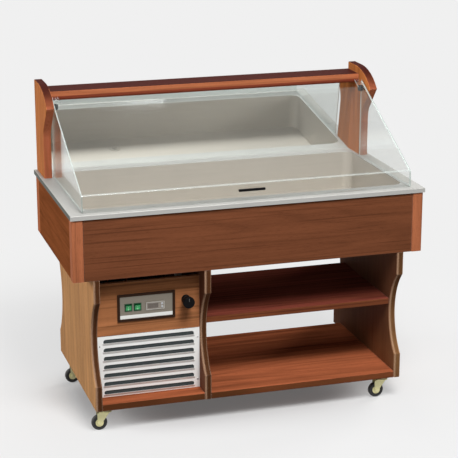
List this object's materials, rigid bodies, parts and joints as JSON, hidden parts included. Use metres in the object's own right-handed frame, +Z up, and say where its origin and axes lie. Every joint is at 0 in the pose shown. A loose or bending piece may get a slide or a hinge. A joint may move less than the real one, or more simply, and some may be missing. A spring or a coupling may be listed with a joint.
{
  "type": "refrigerated buffet cart",
  "caption": "Cold buffet cart: steel-lined well in a wooden apron, clear lift-up hood and mirror back, wavy leg panels, shelf bay, cooling unit and swivel casters.",
  "frame": {"origin": "floor point under the middle of the deck, where the wheels stand", "axes": "+Z up, +X along the cart towards the open shelf bay, -Y towards the customer's side with the hood's lip"},
  "size_m": [1.42, 0.74, 1.26],
  "materials": {
    "apron_wood": "satin",
    "post_wood": "satin",
    "leg_wood": "satin",
    "upright_wood": "satin",
    "canopy_wood": "satin",
    "back_wood": "matte",
    "shelf_wood": "satin",
    "fascia_wood": "satin",
    "batten_wood": "matte",
    "deck_steel": "satin",
    "tank_steel": "satin",
    "sheet_steel": "matte",
    "grille_paint": "satin",
    "acrylic": "gloss",
    "black_plastic": "satin",
    "rocker_green": "gloss",
    "key_plastic": "satin",
    "plate_metal": "satin",
    "mirror_glass": "polished",
    "screw_steel": "polished",
    "foam": "matte",
    "copper": "satin",
    "unit_paint": "satin",
    "fin_metal": "satin",
    "fan_metal": "satin",
    "drain_plastic": "satin",
    "caster_brass": "satin",
    "caster_plate": "satin",
    "wheel_tyre": "satin"
  },
  "bodies": {
    "cart": {"apron_back": "apron_wood", "apron_front": "apron_wood", "apron_left": "apron_wood", "apron_right": "apron_wood", "back_panel": "back_wood", "bay_floor": "shelf_wood", "cable_gland": "black_plastic", "canopy": "canopy_wood", "caster_plates": "caster_plate", "compressor": "unit_paint", "condenser": "fin_metal", "control_bezel": "black_plastic", "control_plate": "plate_metal", "deck": "deck_steel", "drain_pipe": "drain_plastic", "drain_valve": "drain_plastic", "evaporator": "copper", "fan_motor": "unit_paint", "fan_shroud": "unit_paint", "fascia": "fascia_wood", "grille": "grille_paint", "hinge_knobs": "black_plastic", "insulation": "foam", "left_leg_panel": "leg_wood", "machine_floor": "shelf_wood", "mid_shelf": "shelf_wood", "middle_partition": "leg_wood", "mirror": "mirror_glass", "panel_battens": "batten_wood", "panel_screws": "screw_steel", "post_left": "post_wood", "post_right": "post_wood", "rear_vent_panel": "sheet_steel", "refrigerant_lines": "copper", "right_leg_panel": "leg_wood", "switch_bodies": "black_plastic", "thermostat": "black_plastic", "tub_bottom": "sheet_steel", "unit_tray": "sheet_steel", "upright_left": "upright_wood", "upright_right": "upright_wood", "well": "tank_steel"},
    "hood": {"hood_sheet": "acrylic", "hood_wing_left": "acrylic", "hood_wing_right": "acrylic", "hood_handle": "black_plastic"},
    "rocker_left": {"rocker_left": "rocker_green"},
    "rocker_right": {"rocker_right": "rocker_green"},
    "key_up": {"key_up": "key_plastic"},
    "key_down": {"key_down": "key_plastic"},
    "drain_knob": {"drain_knob": "black_plastic"},
    "fan": {"fan_blades": "fan_metal"},
    "fork_front_left": {"caster_fork_front_left": "caster_brass"},
    "wheel_front_left": {"caster_wheel_front_left": "wheel_tyre"},
    "fork_front_right": {"caster_fork_front_right": "caster_brass"},
    "wheel_front_right": {"caster_wheel_front_right": "wheel_tyre"},
    "fork_rear_left": {"caster_fork_rear_left": "caster_brass"},
    "wheel_rear_left": {"caster_wheel_rear_left": "wheel_tyre"},
    "fork_rear_right": {"caster_fork_rear_right": "caster_brass"},
    "wheel_rear_right": {"caster_wheel_rear_right": "wheel_tyre"}
  },
  "joints": [
    {"name": "hood_lift", "type": "hinge", "parent": "cart", "child": "hood", "pos_m": [0, 0.183, 1.1815], "axis": [-1, 0, 0], "range_deg": [0, 75]},
    {"name": "rocker_left_tip", "type": "hinge", "parent": "cart", "child": "rocker_left", "pos_m": [-0.478, -0.286, 0.4815], "axis": [-1, 0, 0], "range_deg": [0, 16]},
    {"name": "rocker_right_tip", "type": "hinge", "parent": "cart", "child": "rocker_right", "pos_m": [-0.442, -0.286, 0.4815], "axis": [-1, 0, 0], "range_deg": [0, 16]},
    {"name": "key_up_press", "type": "slide", "parent": "cart", "child": "key_up", "axis": [0, 1, 0], "range_m": [0, 0.001], "stiffness_N_per_m": 1500},
    {"name": "key_down_press", "type": "slide", "parent": "cart", "child": "key_down", "axis": [0, 1, 0], "range_m": [0, 0.001], "stiffness_N_per_m": 1500},
    {"name": "drain_turn", "type": "hinge", "parent": "cart", "child": "drain_knob", "pos_m": [-0.249, -0.17743, 0.494], "axis": [0, 1, 0], "range_deg": [0, 90]},
    {"name": "fan_spin", "type": "hinge", "parent": "cart", "child": "fan", "pos_m": [-0.44, -0.156, 0.249], "axis": [0, 1, 0], "continuous": true},
    {"name": "swivel_front_left", "type": "hinge", "parent": "cart", "child": "fork_front_left", "pos_m": [-0.577, -0.31, 0.095], "axis": [0, 0, 1], "continuous": true},
    {"name": "roll_front_left", "type": "hinge", "parent": "fork_front_left", "child": "wheel_front_left", "pos_m": [-0.607, -0.31, 0.031], "axis": [0, 1, 0], "continuous": true},
    {"name": "swivel_front_right", "type": "hinge", "parent": "cart", "child": "fork_front_right", "pos_m": [0.577, -0.31, 0.095], "axis": [0, 0, 1], "continuous": true},
    {"name": "roll_front_right", "type": "hinge", "parent": "fork_front_right", "child": "wheel_front_right", "pos_m": [0.547, -0.31, 0.031], "axis": [0, 1, 0], "continuous": true},
    {"name": "swivel_rear_left", "type": "hinge", "parent": "cart", "child": "fork_rear_left", "pos_m": [-0.577, 0.205, 0.095], "axis": [0, 0, 1], "continuous": true},
    {"name": "roll_rear_left", "type": "hinge", "parent": "fork_rear_left", "child": "wheel_rear_left", "pos_m": [-0.607, 0.205, 0.031], "axis": [0, 1, 0], "continuous": true},
    {"name": "swivel_rear_right", "type": "hinge", "parent": "cart", "child": "fork_rear_right", "pos_m": [0.577, 0.205, 0.095], "axis": [0, 0, 1], "continuous": true},
    {"name": "roll_rear_right", "type": "hinge", "parent": "fork_rear_right", "child": "wheel_rear_right", "pos_m": [0.547, 0.205, 0.031], "axis": [0, 1, 0], "continuous": true}
  ]
}
